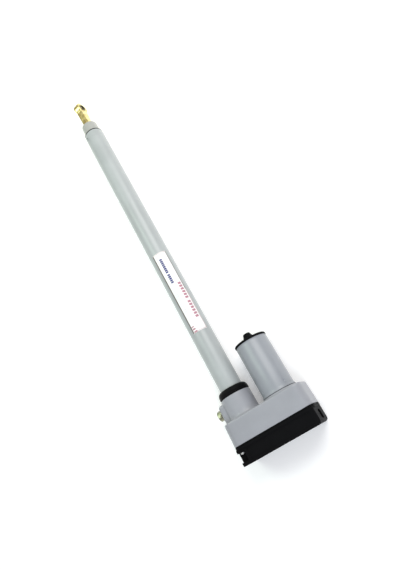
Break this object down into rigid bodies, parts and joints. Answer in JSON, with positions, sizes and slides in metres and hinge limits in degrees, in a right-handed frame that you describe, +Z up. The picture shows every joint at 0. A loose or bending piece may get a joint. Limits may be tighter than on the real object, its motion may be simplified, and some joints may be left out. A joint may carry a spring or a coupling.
{
  "type": "linear actuator",
  "caption": "Electric linear actuator with a parallel motor, a gear housing, a long outer tube and a sliding rod that ends in an eye.",
  "frame": {"origin": "on the tube's axis, at the flat rear face of the bottom cover", "axes": "+X along the tube towards the eye, +Y from the motor's side to the tube's side, +Z up out of the side that faces up as it lies"},
  "size_m": [0.796, 0.1476, 0.066],
  "materials": {
    "grey_paint": "satin enamel",
    "black_plastic": "moulded, semi-matt",
    "rubber": "matt",
    "zinc_clear": "zinc plated",
    "zinc_yellow": "yellow zinc plated",
    "steel": "machined",
    "label_white": "printed film",
    "nylon": "moulded",
    "bronze": "machined",
    "copper": "machined",
    "ferrite": "matt",
    "phenolic": "laminate"
  },
  "bodies": {
    "housing": {"gear_housing": "grey_paint", "outer_tube": "grey_paint", "tube_end_gland": "grey_paint", "motor_can": "grey_paint", "bottom_cover": "black_plastic", "motor_end_cap": "black_plastic", "limit_switch_1": "black_plastic", "limit_switch_2": "black_plastic", "terminal_block": "black_plastic", "reed_sensor": "black_plastic", "housing_gasket": "rubber", "cable_inlet": "rubber", "tube_collar": "rubber", "wiper_seal": "rubber", "cover_screw_1": "zinc_clear", "cover_screw_2": "zinc_clear", "cover_screw_3": "zinc_clear", "gear_plate_screw_1": "zinc_clear", "gear_plate_screw_2": "zinc_clear", "motor_screw_1": "zinc_clear", "motor_screw_2": "zinc_clear", "clamp_bolt": "zinc_clear", "clamp_washer": "zinc_clear", "bearing_outer_race": "steel", "gear_plate": "steel", "idler_axle": "steel", "worm_wheel_pin": "steel", "cam_pin": "steel", "limit_switch_bracket": "steel", "tube_label": "label_white", "screw_rear_bush": "bronze", "motor_front_bush": "bronze", "motor_rear_bush": "bronze", "motor_magnet_1": "ferrite", "motor_magnet_2": "ferrite", "motor_brush_1": "ferrite", "motor_brush_2": "ferrite", "brush_plate": "phenolic"},
    "screw": {"lead_screw": "steel", "screw_gear": "nylon", "bearing_inner_race": "steel", "gear_circlip": "steel", "limit_worm": "steel", "magnet_wheel": "ferrite"},
    "cage": {"bearing_cage": "bronze"},
    "rod": {"inner_tube": "zinc_clear", "drive_nut": "bronze", "rod_guide_ring": "nylon", "rod_plug": "steel", "rod_eye": "zinc_yellow", "rod_roll_pin": "steel"},
    "ball": {"rod_ball": "steel"},
    "armature": {"armature_shaft": "steel", "armature_core": "steel", "commutator": "copper", "motor_pinion": "steel"},
    "idler": {"idler_gear": "nylon"},
    "wheel": {"worm_wheel": "nylon"},
    "cam": {"limit_cam": "nylon"}
  },
  "joints": [
    {"name": "rod_slide", "type": "slide", "parent": "housing", "child": "rod", "axis": [1, 0, 0], "range_m": [0, 0.457]},
    {"name": "ball_tilt", "type": "hinge", "parent": "rod", "child": "ball", "pos_m": [0.783, 0, 0], "axis": [0, 0.2079, 0.9781], "range_deg": [-8, 8]},
    {"name": "screw_turn", "type": "hinge", "parent": "housing", "child": "screw", "pos_m": [0.04, 0, 0], "axis": [1, 0, 0], "continuous": true},
    {"name": "cage_turn", "type": "hinge", "parent": "housing", "child": "cage", "pos_m": [0.06715, 0, 0], "axis": [1, 0, 0], "continuous": true},
    {"name": "idler_turn", "type": "hinge", "parent": "housing", "child": "idler", "pos_m": [0.045, -0.0355, 0], "axis": [1, 0, 0], "continuous": true},
    {"name": "armature_turn", "type": "hinge", "parent": "housing", "child": "armature", "pos_m": [0.11, -0.0665, 0], "axis": [1, 0, 0], "continuous": true},
    {"name": "worm_wheel_turn", "type": "hinge", "parent": "housing", "child": "wheel", "pos_m": [0.015, -0.0126, 0], "axis": [0, 0, 1], "continuous": true},
    {"name": "limit_cam_turn", "type": "hinge", "parent": "housing", "child": "cam", "pos_m": [0.015, -0.0246, 0], "axis": [0, 0, 1], "continuous": true}
  ],
  "couplings": [
    {"joint": "screw_turn", "follows": "rod_slide", "rad_per_m": -1256.6},
    {"joint": "cage_turn", "follows": "rod_slide", "rad_per_m": -533.57},
    {"joint": "idler_turn", "follows": "rod_slide", "rad_per_m": 4691.4},
    {"joint": "armature_turn", "follows": "rod_slide", "rad_per_m": -24396},
    {"joint": "worm_wheel_turn", "follows": "rod_slide", "rad_per_m": -41.888},
    {"joint": "limit_cam_turn", "follows": "rod_slide", "rad_per_m": 8.3776}
  ]
}
